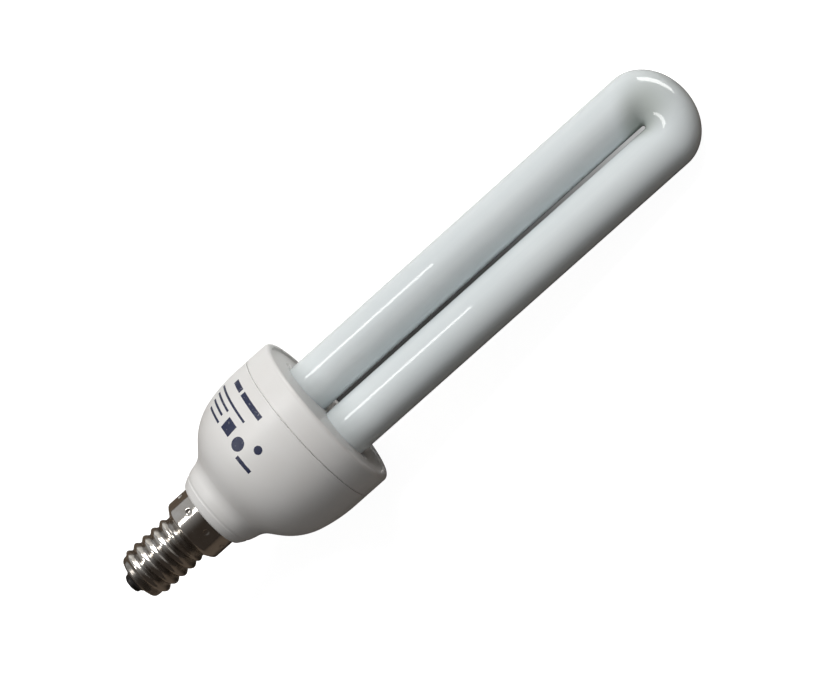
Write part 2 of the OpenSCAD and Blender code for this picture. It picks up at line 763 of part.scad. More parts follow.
// Insulated lead from the board to the edge of the spigot, where the shell traps its end
module side_lead() {
    end_z = neck_z - spigot_len - wire_r - 0.15;
    edge_y = -collar_r + sheet + wire_r + 0.7;
    bore_y = -collar_r + sheet + slip + spigot_wall + wire_r + 1;
    up = way([0, bore_y, end_z + wire_r], [side_at[0], side_at[1], board_z]);
    color("navy") lay() {
        wire(concat([[0, edge_y, end_z]], up), wire_r, [1, 0, 0]);
        leads([side_at]);
    }
}

centre_contact();
cap_insulator();
screw_shell();
housing();
tube_holder();
glass_tube();
tube_cement();
circuit_board();
solder_joints();
smoothing_capacitor();
choke_core();
choke_bobbin();
choke_coil();
toroid_core();
toroid_windings();
power_transistors();
rectifier_diodes();
trigger_diac();
film_capacitor();
start_capacitor();
resistors();
fusible_resistor();
wrap_pins();
filament_leads();
centre_lead();
side_lead();
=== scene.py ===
# %% [markdown]
# # A compact ultraviolet lamp for an insect trap
# The real lamp is one U-shaped glass tube on a white moulded ballast housing with a small nickel-plated screw cap. Its
# solids come packed from CAD. This lesson dresses them: it builds smooth outer pieces over the CAD solids, gives every
# piece a material made of nodes, and sets a pale studio with a camera where the photographer stood.

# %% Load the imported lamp
import json
import math

import bmesh
import bpy
from mathutils import Matrix, Vector


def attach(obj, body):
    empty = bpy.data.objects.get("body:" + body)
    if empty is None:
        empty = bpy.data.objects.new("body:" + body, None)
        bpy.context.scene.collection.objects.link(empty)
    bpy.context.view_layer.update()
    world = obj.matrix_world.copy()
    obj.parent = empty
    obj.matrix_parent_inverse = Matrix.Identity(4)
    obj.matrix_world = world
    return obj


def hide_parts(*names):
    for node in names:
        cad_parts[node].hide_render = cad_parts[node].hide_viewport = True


MM = 0.001
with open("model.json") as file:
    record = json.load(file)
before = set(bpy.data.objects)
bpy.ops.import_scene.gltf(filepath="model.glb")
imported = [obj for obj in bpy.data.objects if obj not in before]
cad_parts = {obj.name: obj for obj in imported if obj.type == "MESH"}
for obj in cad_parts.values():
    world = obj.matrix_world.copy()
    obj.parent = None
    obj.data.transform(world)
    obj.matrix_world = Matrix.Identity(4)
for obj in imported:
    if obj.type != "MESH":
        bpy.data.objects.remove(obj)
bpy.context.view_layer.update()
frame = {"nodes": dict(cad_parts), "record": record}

# %% [markdown]
# The lamp lies on its side and slopes, so its own axis isn't one of Blender's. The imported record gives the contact's
# place and direction. From those comes one matrix, and each new piece is then drawn in lamp sizes: the contact's tip at
# height 0, the tube upward, the two legs side by side along X. The matrix then lays its points down in the room.

# %% The lamp's own axes
mounts = {m["name"]: m for m in frame["record"]["mounts"]}
contact_tip = Vector(mounts["centre_contact"]["pos_m"])
along = -Vector(mounts["centre_contact"]["axis"]).normalized()
across = Vector((0, 1, 0))
upward = along.cross(across)
LAY = Matrix((across, upward, along)).transposed().to_4x4()
LAY.translation = contact_tip
print("the axis slopes by", round(math.degrees(math.asin(-along.z)), 2), "degrees")

# %% [markdown]
# ## Camera
# The photograph looks down on the lamp from about two thirds of a metre, so the cap looks smaller than the bend. The
# camera is turned round the lamp's axis toward the near leg, leans toward the tube's end, and is rolled so that the
# lamp climbs from lower left to upper right.

# %% Camera
TURN, LEAN, ROLL = math.radians(14), math.radians(6.5), math.radians(41.75)
DISTANCE, LENS = 643 * MM, 118
facing = math.cos(TURN) * upward - math.sin(TURN) * across
toward = math.cos(LEAN) * facing + math.sin(LEAN) * along
axis_right = (along - along.dot(toward) * toward).normalized()
axis_up = toward.cross(axis_right)
aim = LAY @ Vector((0, 0, 89.2 * MM)) - axis_up * 2.6 * MM
screen_right = math.cos(ROLL) * axis_right - math.sin(ROLL) * axis_up
screen_up = math.sin(ROLL) * axis_right + math.cos(ROLL) * axis_up

camera_data = bpy.data.cameras.new("camera")
camera_data.lens = LENS
camera_data.clip_start = 0.05
camera = bpy.data.objects.new("camera", camera_data)
camera.matrix_world = Matrix((screen_right, screen_up, toward)).transposed().to_4x4()
camera.location = aim + toward * DISTANCE
bpy.context.scene.collection.objects.link(camera)
bpy.context.scene.camera = camera
print("camera at", [round(x, 3) for x in camera.location])

# %% [markdown]
# ## Studio
# A broad window on the far leg's side lights the lamp and gives the long fall from white to grey round the glass. The
# glass and the nickel mirror a narrow strip in the window's place instead: the sharp white line on each leg, and the
# flare on the cap. The strip stands mostly behind the cap, so the lines end before the bend. A third light, low and far
# ahead, is seen only in reflections too and draws the bright arc round the bend. The floor and the background look
# white, but the room that the lamp mirrors is dim, and lighter on the window's side.

# %% Lights
def soft_light(name, out, reach, place, size, length, power):
    """An area light at a reach in metres from a place on the lamp's axis, its length as near the axis as it can be."""
    data = bpy.data.lights.new(name, "AREA")
    data.shape, data.size, data.size_y = "RECTANGLE", size, length
    data.energy, data.color = power, (1.0, 0.99, 0.975)
    light = bpy.data.objects.new(name, data)
    out = out.normalized()
    wide = along.cross(out).normalized()
    light.matrix_world = Matrix((wide, out.cross(wide), out)).transposed().to_4x4()
    light.location = LAY @ Vector((0, 0, place)) + reach * out
    bpy.context.scene.collection.objects.link(light)
    return light


window_out = math.cos(math.radians(30)) * upward + math.sin(math.radians(30)) * across
window = soft_light("window_light", window_out, 1, 0.12, 0.38, 0.9, 8.8)
window.visible_glossy = False
strip = soft_light("strip_light", window_out, 0.96, -0.425, 0.17, 0.9, 3.4)
low_out = Vector((math.cos(math.radians(36)), math.sin(math.radians(36)), 0.16))
low = soft_light("low_light", low_out, 1, 0.16, 0.34, 0.72, 6.2)
for mirrored_only in (strip, low):
    mirrored_only.visible_diffuse = False
for light in (window, strip, low):
    print(light.name, "at", [round(x, 2) for x in light.location])

# %% Background and floor
def node_tree(owner):
    """An empty node tree and two helpers: one adds a node, the other joins two sockets."""
    owner.use_nodes = True
    tree = owner.node_tree
    tree.nodes.clear()

    def add(kind, **values):
        made = tree.nodes.new(kind)
        for key, value in values.items():
            setattr(made, key, value)
        return made

    return tree, add, tree.links.new


world = bpy.data.worlds.new("studio")
bpy.context.scene.world = world
tree, add, join = node_tree(world)
path = add("ShaderNodeLightPath")
white = add("ShaderNodeBackground")
white.inputs["Color"].default_value = (0.97, 0.97, 0.97, 1)
dim = add("ShaderNodeBackground")
direction = add("ShaderNodeSeparateXYZ")
join(add("ShaderNodeTexCoord").outputs["Generated"], direction.inputs[0])
side_glow = add("ShaderNodeMapRange", clamp=True, interpolation_type="SMOOTHSTEP")
join(direction.outputs["Y"], side_glow.inputs["Value"])
side_glow.inputs["From Min"].default_value = -0.35
side_glow.inputs["From Max"].default_value = 0.95
room = add("ShaderNodeMix", data_type="RGBA")
join(side_glow.outputs["Result"], room.inputs["Factor"])
room.inputs["A"].default_value = (0.038, 0.031, 0.026, 1)
room.inputs["B"].default_value = (0.435, 0.443, 0.45, 1)
surroundings = add("ShaderNodeMix", data_type="RGBA")
join(path.outputs["Is Glossy Ray"], surroundings.inputs["Factor"])
surroundings.inputs["A"].default_value = (0.146, 0.148, 0.15, 1)
join(room.outputs["Result"], surroundings.inputs["B"])
join(surroundings.outputs["Result"], dim.inputs["Color"])
mix = add("ShaderNodeMixShader")
join(path.outputs["Is Camera Ray"], mix.inputs[0])
join(dim.outputs[0], mix.inputs[1])
join(white.outputs[0], mix.inputs[2])
join(mix.outputs[0], add("ShaderNodeOutputWorld").inputs[0])
print("background is ready")

# %% The floor
floor_mesh = bpy.data.meshes.new("floor")
bm = bmesh.new()
bmesh.ops.create_grid(bm, x_segments=8, y_segments=8, size=4)
bm.to_mesh(floor_mesh)
bm.free()
floor = bpy.data.objects.new("floor", floor_mesh)
bpy.context.scene.collection.objects.link(floor)
floor_paint = bpy.data.materials.new("floor_paint")
tree, add, join = node_tree(floor_paint)
path = add("ShaderNodeLightPath")
seen = add("ShaderNodeBsdfPrincipled")
seen.inputs["Roughness"].default_value = 0.8
seen.inputs["Emission Color"].default_value = (1, 1, 1, 1)
mirrored = add("ShaderNodeBsdfDiffuse")
spot = add("ShaderNodeSeparateXYZ")
join(add("ShaderNodeTexCoord").outputs["Object"], spot.inputs[0])

# in reflections it is painted dark brown near the lamp, as a table in shade, but pale beyond the tube and the housing,
# whose far edges so turn bright: a painted bright reflection
painted_bright_side = add("ShaderNodeMath", operation="MULTIPLY")
for socket, label, low_end, high_end in ((painted_bright_side.inputs[0], "X", -66, -46), (painted_bright_side.inputs[1], "Y", 2, 26)):
    share = add("ShaderNodeMapRange", clamp=True, interpolation_type="SMOOTHSTEP")
    join(spot.outputs[label], share.inputs["Value"])
    share.inputs["From Min"].default_value = low_end * MM
    share.inputs["From Max"].default_value = high_end * MM
    join(share.outputs["Result"], socket)
# the floor's colour in reflections: painted shade near the lamp, and pale for the painted bright reflection beyond it
painted_floor_reflection = add("ShaderNodeMix", data_type="RGBA")
join(painted_bright_side.outputs[0], painted_floor_reflection.inputs["Factor"])
painted_floor_reflection.inputs["A"].default_value = (0.15, 0.12, 0.095, 1)
painted_floor_reflection.inputs["B"].default_value = (0.85, 0.86, 0.85, 1)
join(painted_floor_reflection.outputs["Result"], mirrored.inputs["Color"])

# a painted shadow darkens it in a long, narrow patch that shows through the slit between the legs, and less so toward
# the bend
middle = add("ShaderNodeMath", operation="MULTIPLY_ADD")
join(spot.outputs["X"], middle.inputs[0])
middle.inputs[1].default_value = -0.035
middle.inputs[2].default_value = 0.0045
aside = add("ShaderNodeMath", operation="SUBTRACT")
join(spot.outputs["Y"], aside.inputs[0])
join(middle.outputs[0], aside.inputs[1])
beyond = add("ShaderNodeMath", operation="SUBTRACT")
join(spot.outputs["X"], beyond.inputs[0])
beyond.inputs[1].default_value = 5 * MM
shade = add("ShaderNodeMath", operation="MULTIPLY")
for socket, offset, full, none in ((shade.inputs[0], beyond, 67, 80), (shade.inputs[1], aside, 2.5, 11.5)):
    away = add("ShaderNodeMath", operation="ABSOLUTE")
    join(offset.outputs[0], away.inputs[0])
    share = add("ShaderNodeMapRange", clamp=True, interpolation_type="SMOOTHSTEP")
    join(away.outputs[0], share.inputs["Value"])
    for label, value in (("From Min", full * MM), ("From Max", none * MM), ("To Min", 1), ("To Max", 0)):
        share.inputs[label].default_value = value
    join(share.outputs["Result"], socket)
toward_bend = add("ShaderNodeMapRange", clamp=True)
join(spot.outputs["X"], toward_bend.inputs["Value"])
toward_bend.inputs["From Min"].default_value = -14 * MM
toward_bend.inputs["From Max"].default_value = 69 * MM
late_rise = add("ShaderNodeMath", operation="POWER")
join(toward_bend.outputs["Result"], late_rise.inputs[0])
late_rise.inputs[1].default_value = 4
left_light = add("ShaderNodeMath", operation="MULTIPLY_ADD")
join(late_rise.outputs[0], left_light.inputs[0])
left_light.inputs[1].default_value = 0.42
left_light.inputs[2].default_value = 0.03
open_floor = add("ShaderNodeMix", data_type="FLOAT")
join(shade.outputs[0], open_floor.inputs["Factor"])
open_floor.inputs["A"].default_value = 1
join(left_light.outputs[0], open_floor.inputs["B"])
# the camera sees the painted shadow in the floor's colour and in its glow
brightness = add("ShaderNodeMix", data_type="RGBA")
join(open_floor.outputs["Result"], brightness.inputs["Factor"])
brightness.inputs["A"].default_value = (0, 0, 0, 1)
brightness.inputs["B"].default_value = (0.5, 0.5, 0.497, 1)
join(brightness.outputs["Result"], seen.inputs["Base Color"])
glow = add("ShaderNodeMath", operation="MULTIPLY")
join(open_floor.outputs["Result"], glow.inputs[0])
glow.inputs[1].default_value = 0.93
join(glow.outputs[0], seen.inputs["Emission Strength"])
mix = add("ShaderNodeMixShader")
join(path.outputs["Is Camera Ray"], mix.inputs[0])
join(mirrored.outputs[0], mix.inputs[1])
join(seen.outputs[0], mix.inputs[2])
join(mix.outputs[0], add("ShaderNodeOutputMaterial").inputs[0])
floor_mesh.materials.append(floor_paint)
bpy.context.scene.view_settings.view_transform = "Standard"
print("floor is ready")

# %% [markdown]
# ## Effects shared by the materials
# Three effects come back on many surfaces, so each is a node group. Mottle gives slow, cloudy changes of tone. Grain
# gives the fine unevenness of a moulded or sprayed surface, as a height for a bump. Scuffs gives thin scratches, which
# lie along or across the lamp because the noise is stretched one way. A group puts out masks and heights only. Each is
# given a place: new pieces carry their own lamp coordinates as an attribute, and CAD solids use those of the room.


# %% Group: mottle, grain and scuffs
def effect_group(name, inputs, outputs):
    group = bpy.data.node_groups.new(name, "ShaderNodeTree")
    group.interface.new_socket("Place", in_out="INPUT", socket_type="NodeSocketVector")
    for label, value in inputs:
        socket = group.interface.new_socket(label, in_out="INPUT", socket_type="NodeSocketFloat")
        socket.default_value = value
    for label in outputs:
        group.interface.new_socket(label, in_out="OUTPUT", socket_type="NodeSocketFloat")

    def add(kind, **values):
        made = group.nodes.new(kind)
        for key, value in values.items():
            setattr(made, key, value)
        return made

    start, end = add("NodeGroupInput"), add("NodeGroupOutput")
    return group, add, group.links.new, start, end


mottle, add, join, start, end = effect_group("mottle", [("Scale", 60), ("Low", 0.35), ("High", 0.65)], ["Mask"])
clouds = add("ShaderNodeTexNoise")
clouds.inputs["Detail"].default_value = 4
clouds.inputs["Roughness"].default_value = 0.55
spread = add("ShaderNodeMapRange", clamp=True)
join(start.outputs["Place"], clouds.inputs["Vector"])
join(start.outputs["Scale"], clouds.inputs["Scale"])
join(clouds.outputs["Fac"], spread.inputs["Value"])
join(start.outputs["Low"], spread.inputs["From Min"])
join(start.outputs["High"], spread.inputs["From Max"])
join(spread.outputs["Result"], end.inputs["Mask"])

grain, add, join, start, end = effect_group("grain", [("Scale", 2500), ("Coarse", 0.4)], ["Height"])
fine = add("ShaderNodeTexNoise")
fine.inputs["Detail"].default_value = 3
wide = add("ShaderNodeTexNoise")
wide.inputs["Detail"].default_value = 2
ratio = add("ShaderNodeMath", operation="MULTIPLY")
ratio.inputs[1].default_value = 0.12
blend = add("ShaderNodeMix", data_type="FLOAT")
for texture in (fine, wide):
    join(start.outputs["Place"], texture.inputs["Vector"])
join(start.outputs["Scale"], fine.inputs["Scale"])
join(start.outputs["Scale"], ratio.inputs[0])
join(ratio.outputs[0], wide.inputs["Scale"])
join(start.outputs["Coarse"], blend.inputs["Factor"])
join(fine.outputs["Fac"], blend.inputs["A"])
join(wide.outputs["Fac"], blend.inputs["B"])
join(blend.outputs["Result"], end.inputs["Height"])

scuffs, add, join, start, end = effect_group("scuffs", [("Across", 900), ("Along", 60), ("Amount", 0.5)], ["Mask"])
stretch = add("ShaderNodeVectorMath", operation="MULTIPLY")
sizes = add("ShaderNodeCombineXYZ")
hairs = add("ShaderNodeTexNoise")
hairs.inputs["Scale"].default_value = 1
hairs.inputs["Detail"].default_value = 5
edge = add("ShaderNodeMath", operation="SUBTRACT")
edge.inputs[0].default_value = 0.78
scaled = add("ShaderNodeMath", operation="MULTIPLY")
scaled.inputs[1].default_value = 0.2
cut = add("ShaderNodeMapRange", clamp=True)
join(start.outputs["Place"], stretch.inputs[0])
join(start.outputs["Across"], sizes.inputs["X"])
join(start.outputs["Across"], sizes.inputs["Y"])
join(start.outputs["Along"], sizes.inputs["Z"])
join(sizes.outputs[0], stretch.inputs[1])
join(stretch.outputs[0], hairs.inputs["Vector"])
join(start.outputs["Amount"], scaled.inputs[0])
join(scaled.outputs[0], edge.inputs[1])
join(hairs.outputs["Fac"], cut.inputs["Value"])
join(edge.outputs[0], cut.inputs["From Min"])
cut.inputs["From Max"].default_value = 0.85
join(cut.outputs["Result"], end.inputs["Mask"])
print("groups:", [g.name for g in (mottle, grain, scuffs)])


# %% A finish to start from
def finish(name, lamp_axes=True):
    """A new material with a Principled BSDF, and the helpers that its own cell goes on with."""
    material = bpy.data.materials.new(name)
    tree, add, join = node_tree(material)
    surface = add("ShaderNodeBsdfPrincipled")
    join(surface.outputs[0], add("ShaderNodeOutputMaterial").inputs[0])
    if lamp_axes:
        place = add("ShaderNodeAttribute", attribute_name="lamp_place").outputs["Vector"]
    else:
        place = add("ShaderNodeTexCoord").outputs["Object"]

    def effect(group, **values):
        placed = add("ShaderNodeGroup")
        placed.node_tree = group
        join(place, placed.inputs["Place"])
        for label, value in values.items():
            placed.inputs[label].default_value = value
        return placed.outputs[0]

    def tone(mask, first, second):
        mixed = add("ShaderNodeMix", data_type="RGBA")
        join(mask, mixed.inputs["Factor"])
        for socket, colour in ((mixed.inputs["A"], first), (mixed.inputs["B"], second)):
            if isinstance(colour, tuple):
                socket.default_value = (*colour, 1)
            else:
                join(colour, socket)
        return mixed.outputs["Result"]

    def level(mask, low, high):
        ranged = add("ShaderNodeMapRange", clamp=True)
        join(mask, ranged.inputs["Value"])
        ranged.inputs["To Min"].default_value = low
        ranged.inputs["To Max"].default_value = high
        return ranged.outputs["Result"]

    def relief(height, strength, depth):
        bump = add("ShaderNodeBump")
        bump.inputs["Strength"].default_value = strength
        bump.inputs["Distance"].default_value = depth
        join(height, bump.inputs["Height"])
        join(bump.outputs["Normal"], surface.inputs["Normal"])
        return bump

    return material, surface, place, add, join, effect, tone, level, relief


print("finish helper is ready")

# %% [markdown]
# ## Building pieces
# Nearly all of the lamp is turned or swept, so two helpers are enough: one skins rings of points, and one turns a closed
# outline round the lamp's axis. A sharp edge is only marked where two faces meet at more than a set angle, so curved
# walls shade smoothly and real edges stay crisp.


# %% Helpers for meshes
def new_piece(name, points, faces, sharp=35):
    mesh = bpy.data.meshes.new(name)
    drawn = [Vector(point) * MM for point in points]
    mesh.from_pydata([LAY @ point for point in drawn], [], faces)
    lamp_place = mesh.attributes.new("lamp_place", "FLOAT_VECTOR", "POINT")
    lamp_place.data.foreach_set("vector", [x for point in drawn for x in point])
    bm = bmesh.new()
    bm.from_mesh(mesh)
    bmesh.ops.recalc_face_normals(bm, faces=bm.faces)
    bm.to_mesh(mesh)
    bm.free()
    mesh.polygons.foreach_set("use_smooth", [True] * len(mesh.polygons))
    mesh.set_sharp_from_angle(angle=math.radians(sharp))
    piece = bpy.data.objects.new(name, mesh)
    bpy.context.scene.collection.objects.link(piece)
    return piece


def skin_rings(rings, closed=False):
    """Points and quads between rings of one length; an open row of rings gets a flat face at each end."""
    n = len(rings[0])
    points = [p for ring in rings for p in ring]
    faces = []
    for i in range(len(rings) - (0 if closed else 1)):
        a, b = i * n, (i + 1) % len(rings) * n
        faces += [(a + j, a + (j + 1) % n, b + (j + 1) % n, b + j) for j in range(n)]
    if not closed:
        faces += [tuple(range(n)), tuple(reversed(range(len(points) - n, len(points))))]
    return points, faces


def turn_outline(outline, around=160):
    """Points and faces of a closed outline of (radius, height) turned round the lamp's axis."""
    points, rings, faces = [], [], []
    for r, z in outline:
        count = around if r > 1e-6 else 1
        rings.append([len(points) + (j if count > 1 else 0) for j in range(around)])
        turn = 2 * math.pi / around
        points += [(r * math.cos(turn * j), r * math.sin(turn * j), z) for j in range(count)]
    for a, b in zip(rings, rings[1:] + rings[:1]):
        for j in range(around):
            k = (j + 1) % around
            corners = list(dict.fromkeys([a[j], a[k], b[k], b[j]]))
            if len(corners) > 2:
                faces.append(corners)
    return points, faces


def dress(piece, material, slot, *nodes):
    """Gives a piece its material, lets it ride on the lamp, and hides the CAD nodes that it stands for."""
    piece.data.materials.append(material)
    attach(piece, "root")
    if nodes:
        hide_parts(*nodes)
    print(piece.name, "has", sum(len(p.vertices) - 2 for p in piece.data.polygons), "triangles")


# %% [markdown]
# ## The glass tube
# The tube is drawn out of one length of glass: two straight legs, and a bend that is flatter on the outside than a
# half circle. Each leg ends in a flat pinch inside the holder. The white powder lies on the inside of a thin clear wall,
# and glass bends light so strongly that the white seems to reach the very edge. So one surface does for both: a white
# base under a clear coat with the gloss of glass.

# %% Sizes of the tube
leg_r, leg_x = 6.4, 7.05
seal_z, pinch_z, leg_z, bend_z = 53.0, 55.2, 57.2, 167.6
bend_depth, slot_depth, slot_back, bend_half = 10.9, 0.6, 2.4, 6.2
rim_z, split_z, neck_z = 64.8, 58.2, 26.4


def ellipse(centre, a, b, count):
    return [
        tuple(c + u * math.cos(2 * math.pi * j / count) + v * math.sin(2 * math.pi * j / count)
              for c, u, v in zip(centre, a, b))
        for j in range(count)
    ]


def bend_ring(angle, count):
    c, s = math.cos(angle), math.sin(angle)
    out = ((leg_x + leg_r) * c, bend_z + bend_depth * s)
    inner = ((leg_x - leg_r) * c, bend_z - slot_back + slot_depth * s)
    centre = ((out[0] + inner[0]) / 2, 0, (out[1] + inner[1]) / 2)
    half = ((out[0] - inner[0]) / 2, 0, (out[1] - inner[1]) / 2)
    return ellipse(centre, half, (0, leg_r + (bend_half - leg_r) * s, 0), count)


def leg_rings(side, count):
    rows = [(seal_z, 5.3, 1.3), (seal_z + 0.2, 5.5, 1.6), (pinch_z, 5.5, 1.6), (pinch_z + 0.7, 5.8, 3.2),
            (pinch_z + 1.4, 6.2, 5.4), (leg_z, leg_r, leg_r)]
    rows += [(leg_z + (bend_z - leg_z) * k / 12, leg_r, leg_r) for k in range(1, 12)]
    return [ellipse((side * leg_x, 0, z), (side * a, 0, 0), (0, b, 0), count) for z, a, b in rows]


sides, steps = 72, 72
rings = leg_rings(1, sides) + [bend_ring(math.pi * i / steps, sides) for i in range(steps + 1)]
rings += reversed(leg_rings(-1, sides))
tube = new_piece("tube_glass", *skin_rings(rings))
print("tube rings:", len(rings))

# %% [markdown]
# The powder isn't quite even: a slow mottle shifts its tone. A greyish saddle on the inside of the bend is painted
# shade, and faint darker streaks along the legs are a painted reflection of the other leg.

# %% Finish of the tube
coated, surface, place, add, join, effect, tone, level, relief = finish("coated_glass")
from_bend = add("ShaderNodeVectorMath", operation="DISTANCE")
from_bend.inputs[1].default_value = (2.5 * MM, 0, (bend_z + 1.5) * MM)
join(place, from_bend.inputs[0])
# a painted shade greys the powder in the hollow of the bend
painted_saddle_shade = add("ShaderNodeMapRange", clamp=True, interpolation_type="SMOOTHSTEP")
join(from_bend.outputs["Value"], painted_saddle_shade.inputs["Value"])
painted_saddle_shade.inputs["From Min"].default_value = 5.5 * MM
painted_saddle_shade.inputs["From Max"].default_value = 10.5 * MM
painted_saddle_shade.inputs["To Min"].default_value = 1
painted_saddle_shade.inputs["To Max"].default_value = 0
# faint darker streaks along the legs: a painted reflection of the other leg
painted_reflection_streaks = effect(scuffs, Across=420, Along=9, Amount=1.6)
clouds = effect(mottle, Scale=45, Low=0.3, High=0.7)
powder = tone(clouds, (0.74, 0.79, 0.805), (0.78, 0.825, 0.835))
powder = tone(level(painted_reflection_streaks, 0, 0.6), powder, (0.68, 0.73, 0.75))
powder = tone(painted_saddle_shade.outputs["Result"], powder, (0.50, 0.54, 0.52))
join(powder, surface.inputs["Base Color"])
surface.inputs["Roughness"].default_value = 0.45
surface.inputs["Specular IOR Level"].default_value = 0.2
surface.inputs["Coat Weight"].default_value = 1
surface.inputs["Coat Roughness"].default_value = 0.02
surface.inputs["Coat IOR"].default_value = 1.52
relief(effect(grain, Scale=260, Coarse=0.8), 0.04, 0.05 * MM)
dress(tube, coated, "coated_glass", "glass_tube")

# %% [markdown]
# ## The housing
# The bowl is moulded in one piece. Its outline is a chain of arcs that run into each other without a kink: a rounded
# lip over the cap, a slightly bulging neck, a hollow, a slanting flank, a shoulder, and a side that grows straight
# toward the parting line. A chain of arcs is drawn by keeping a heading, so that each arc starts where the last one
# pointed.

# %% Outline of the bowl
body_r, wall, neck_r, lip_r = 21.6, 1.6, 14.3, 1.2
flank_turn, side_turn = 48.88, 14


def arc(start, radius, heading, new_heading, count):
    """Points of an arc from start; a heading in degrees is measured from the lamp's axis toward the outside."""
    way = 1 if heading > new_heading else -1
    h0 = math.radians(heading)
    points = []
    for i in range(1, count + 1):
        h = h0 + (math.radians(new_heading) - h0) * i / count
        points.append((start[0] + way * radius * (math.cos(h) - math.cos(h0)),
                       start[1] + way * radius * (math.sin(h0) - math.sin(h))))
    return points


def bowl_outline(inset):
    lip_end = arc((8.9, neck_z), lip_r, 75, 32, 1)[-1]
    h = math.radians(32)
    points = [(lip_end[0] - inset * math.cos(h), lip_end[1] + inset * math.sin(h))]
    points += arc(points[-1], neck_r - inset, 32, 12, 24)
    points += arc(points[-1], 5.5 + inset, 12, flank_turn, 22)
    h, g = math.radians(flank_turn), math.radians(side_turn)
    flank = (points[-1][0] + 2.7 * math.sin(h), points[-1][1] + 2.7 * math.cos(h))
    side_r = 40 - inset
    shoulder_r = (body_r - inset - side_r * (1 - math.cos(g)) - flank[0]) / (math.cos(g) - math.cos(h))
    points += [flank] + arc(flank, shoulder_r, flank_turn, side_turn, 28)
    return points + arc(points[-1], side_r, side_turn, 0, 14)


outer = bowl_outline(0)
inner_wall = bowl_outline(wall)
inner_r = body_r - wall
print("the bowl's side is straight from", round(outer[-1][1], 1), "to", split_z)

# %% The bowl
seam_half, seam_deep, lip_groove = 0.1, 0.45, 0.12
outline = [(6.75, 21.2), (8.05, 21.2), (8.05, neck_z), (8.9, neck_z)]
outline += arc((8.9, neck_z), lip_r, 75, 32, 10)
outline += [(r - lip_groove * (abs(z - neck_z - 2.5) < 0.25), z) for r, z in outer[1:]]
outline += [(body_r, split_z - seam_half - 0.08), (body_r - 0.06, split_z - seam_half),
            (body_r - seam_deep, split_z - seam_half), (body_r - seam_deep, split_z), (inner_r, split_z),
            (inner_r, 57.2), (inner_r + 0.35, 56.75), (inner_r + 0.35, 56.25), (inner_r, 55.8)]
outline += reversed(inner_wall)
outline += [(6.75, neck_z + 0.2)]
bowl = new_piece("housing_bowl", *turn_outline(outline, 192))
print("outline points:", len(outline))

# %% [markdown]
# The plastic is a warm white with a satin surface from the mould. It has yellowed unevenly, so a slow mottle shifts it
# between two near whites. Very fine grain breaks up the gloss, and a few hairline scuffs catch the light.


# %% Finish of the mouldings
def satin_plastic(name, light, warm, gloss):
    material, surface, place, add, join, effect, tone, level, relief = finish(name)
    clouds = effect(mottle, Scale=70, Low=0.3, High=0.75)
    hairs = effect(scuffs, Across=700, Along=120, Amount=0.35)
    colour = tone(clouds, light, warm)
    colour = tone(level(hairs, 0, 0.25), colour, (0.62, 0.58, 0.53))
    join(colour, surface.inputs["Base Color"])
    rough = add("ShaderNodeMath", operation="MULTIPLY_ADD")
    join(effect(mottle, Scale=300, Low=0.2, High=0.8), rough.inputs[0])
    rough.inputs[1].default_value = 0.10
    rough.inputs[2].default_value = gloss
    join(rough.outputs[0], surface.inputs["Roughness"])
    surface.inputs["IOR"].default_value = 1.49
    relief(effect(grain, Scale=3200, Coarse=0.35), 0.10, 0.03 * MM)
    return material


housing_white = satin_plastic("white_housing", (0.83, 0.825, 0.815), (0.80, 0.785, 0.765), 0.34)
dress(bowl, housing_white, "white_housing", "housing")

# %% [markdown]
# ## The tube holder
# A second moulding closes the bowl. Its ring has a rounded rim around a shallow recess, and the tube's legs come out of
# two round holes, each with a small vent slot on its outer side. The ring is turned like the bowl. The holes are cut
# with a Boolean modifier, since their shape isn't round about the lamp's axis, and a shallow cone on each cutter takes
# the sharp edge off.

# %% The holder
rim_edge, rim_w, recess, plate_t = 1.2, 1.8, 0.6, 2.0
face_z = rim_z - recess
lip_in = body_r - rim_w
skirt_r = inner_r - 0.1
outline = [(18.25, 50.3), (19.55, 50.3), (skirt_r, 54.2), (skirt_r, 55.9), (skirt_r + 0.35, 56.3),
           (skirt_r + 0.35, 56.7), (skirt_r, 57.1), (skirt_r, split_z), (body_r - seam_deep, split_z),
           (body_r - seam_deep, split_z + seam_half), (body_r - 0.06, split_z + seam_half),
           (body_r, split_z + seam_half + 0.08)]
outline += [(body_r - rim_edge + rim_edge * math.cos(a), rim_z - rim_edge + rim_edge * math.sin(a))
            for a in (math.pi / 2 * k / 12 for k in range(13))]
outline += [(lip_in + 0.32, rim_z), (lip_in + 0.12, rim_z - 0.05), (lip_in + 0.02, rim_z - 0.2), (lip_in, face_z + 0.12),
            (lip_in - 0.12, face_z), (0, face_z), (0, face_z - plate_t), (18.25, face_z - plate_t)]
holder = new_piece("holder_ring", *turn_outline(outline, 192))


def keyhole(side, radius, slot_half, reach, count=96):
    """Outline of a leg's hole with its vent slot, seen from ahead."""
    gap = math.asin(slot_half / radius)
    sweep = 2 * math.pi - 2 * gap
    points = [(radius * math.cos(gap + sweep * j / count), radius * math.sin(gap + sweep * j / count))
              for j in range(count + 1)]
    points += [(radius + reach, -slot_half), (radius + reach, slot_half)]
    return [(side * (leg_x + x), y) for x, y in points]


